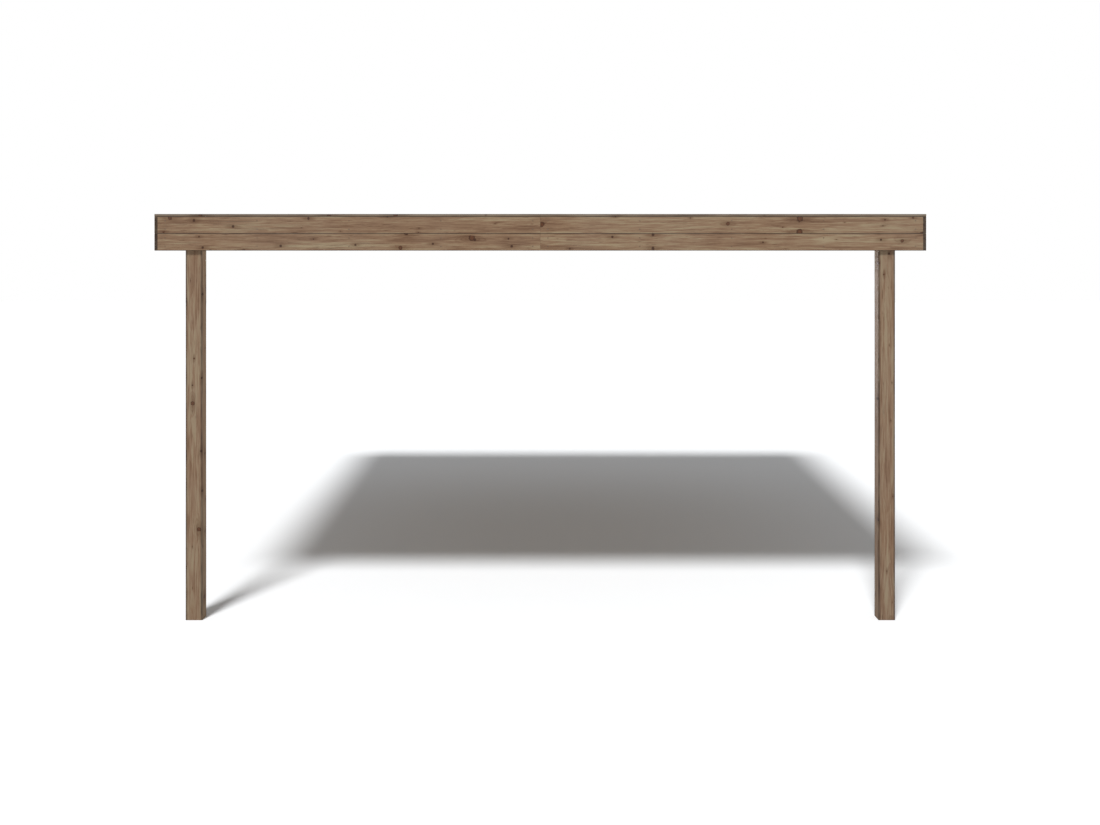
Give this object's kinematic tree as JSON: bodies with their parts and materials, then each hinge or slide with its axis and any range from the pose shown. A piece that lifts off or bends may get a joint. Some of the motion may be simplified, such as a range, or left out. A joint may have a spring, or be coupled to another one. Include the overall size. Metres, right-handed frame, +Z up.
{
  "type": "wooden patio cover",
  "caption": "Flat-roofed wooden lean-to patio cover: posts and a front beam carry the outer edge, a wall ledger the rear, with a board fascia and a thin capping strip round the edge.",
  "frame": {"origin": "centre of the wall ledger's rear face, which stands against the wall", "axes": "+Y points into the wall, +X to the right as seen from the garden, +Z up; the front fascia faces -Y"},
  "size_m": [4.61, 4.4, 2.432],
  "materials": {
    "post_wood": "planed softwood, brown pressure treatment, matte, with knots and eased edges",
    "fascia_wood": "planed softwood boards, brown pressure treatment, matte, streaky grain and knots",
    "cap_wood": "planed softwood strip, weathered brown grey, matte",
    "frame_wood": "planed structural softwood, brown pressure treatment, matte",
    "deck_boards": "planed tongued and grooved softwood boards, matte",
    "membrane": "matte black rubber roofing sheet",
    "galvanised": "dull galvanised steel hangers, plates and screws"
  },
  "bodies": {
    "root": {"post_left": "post_wood", "post_right": "post_wood", "front_beam": "frame_wood", "wall_ledger": "frame_wood", "rafter_1": "frame_wood", "rafter_2": "frame_wood", "rafter_3": "frame_wood", "rafter_4": "frame_wood", "rafter_5": "frame_wood", "rafter_6": "frame_wood", "rafter_7": "frame_wood", "rafter_8": "frame_wood", "nogging_1": "frame_wood", "nogging_2": "frame_wood", "nogging_3": "frame_wood", "nogging_4": "frame_wood", "nogging_5": "frame_wood", "nogging_6": "frame_wood", "nogging_7": "frame_wood", "roof_deck": "deck_boards", "roof_membrane": "membrane", "kerb_front": "frame_wood", "kerb_left": "frame_wood", "kerb_right": "frame_wood", "kerb_wall": "frame_wood", "fascia_front_lower_left": "fascia_wood", "fascia_front_lower_right": "fascia_wood", "fascia_front_upper_left": "fascia_wood", "fascia_front_upper_right": "fascia_wood", "fascia_left_lower_rear": "fascia_wood", "fascia_left_lower_front": "fascia_wood", "fascia_left_upper_rear": "fascia_wood", "fascia_left_upper_front": "fascia_wood", "fascia_right_lower_rear": "fascia_wood", "fascia_right_lower_front": "fascia_wood", "fascia_right_upper_rear": "fascia_wood", "fascia_right_upper_front": "fascia_wood", "cap_front_left": "cap_wood", "cap_front_right": "cap_wood", "cap_left_rear": "cap_wood", "cap_left_front": "cap_wood", "cap_right_rear": "cap_wood", "cap_right_front": "cap_wood", "cap_wall_left": "cap_wood", "cap_wall_right": "cap_wood"}
  },
  "joints": []
}
